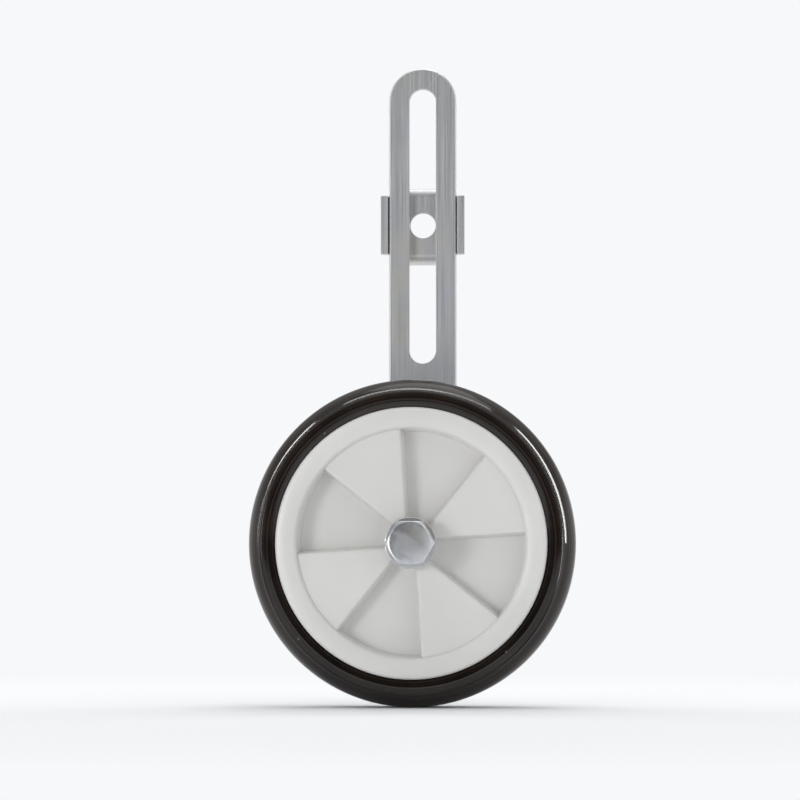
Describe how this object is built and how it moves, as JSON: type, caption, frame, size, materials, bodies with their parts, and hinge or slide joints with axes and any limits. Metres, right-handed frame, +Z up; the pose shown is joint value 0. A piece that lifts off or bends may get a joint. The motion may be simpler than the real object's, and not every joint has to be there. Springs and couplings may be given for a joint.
{
  "type": "bicycle training wheel",
  "caption": "Bicycle training wheel: white moulded hub with a black tyre, turning on a bolt in a slotted steel stay arm with a fixing plate for the rear axle.",
  "frame": {"origin": "centre of the rear-axle hole in the fixing plate, on the face where the plate lies on the stay arm", "axes": "+Y inboard along the bicycle's rear axle, -Y outboard to the wheel's open face, +Z up along the arm's slot, +X forward on the bicycle's right-hand side"},
  "size_m": [0.127, 0.125, 0.2605],
  "materials": {
    "hub_plastic": "white moulded plastic, satin gloss",
    "tyre_rubber": "black, glossy from the mould",
    "zinc_steel": "bright zinc plated",
    "lock_plastic": "plain"
  },
  "bodies": {
    "fixing_plate": {"fixing_plate": "zinc_steel"},
    "arm": {"stay_arm": "zinc_steel", "axle_bolt": "zinc_steel", "head_washer": "zinc_steel", "hub_washer": "zinc_steel", "jam_nut": "zinc_steel", "outer_arm_washer": "zinc_steel", "inner_arm_washer": "zinc_steel", "spring_washer": "zinc_steel", "lock_nut": "zinc_steel", "lock_ring": "lock_plastic"},
    "wheel": {"hub": "hub_plastic", "tyre": "tyre_rubber"}
  },
  "joints": [
    {"name": "height_slide", "type": "slide", "parent": "fixing_plate", "child": "arm", "axis": [0, 0, 1], "range_m": [-0.051, 0.052]},
    {"name": "wheel_spin", "type": "hinge", "parent": "arm", "child": "wheel", "pos_m": [0, -0.0883, -0.132], "axis": [0, 1, 0], "continuous": true}
  ]
}
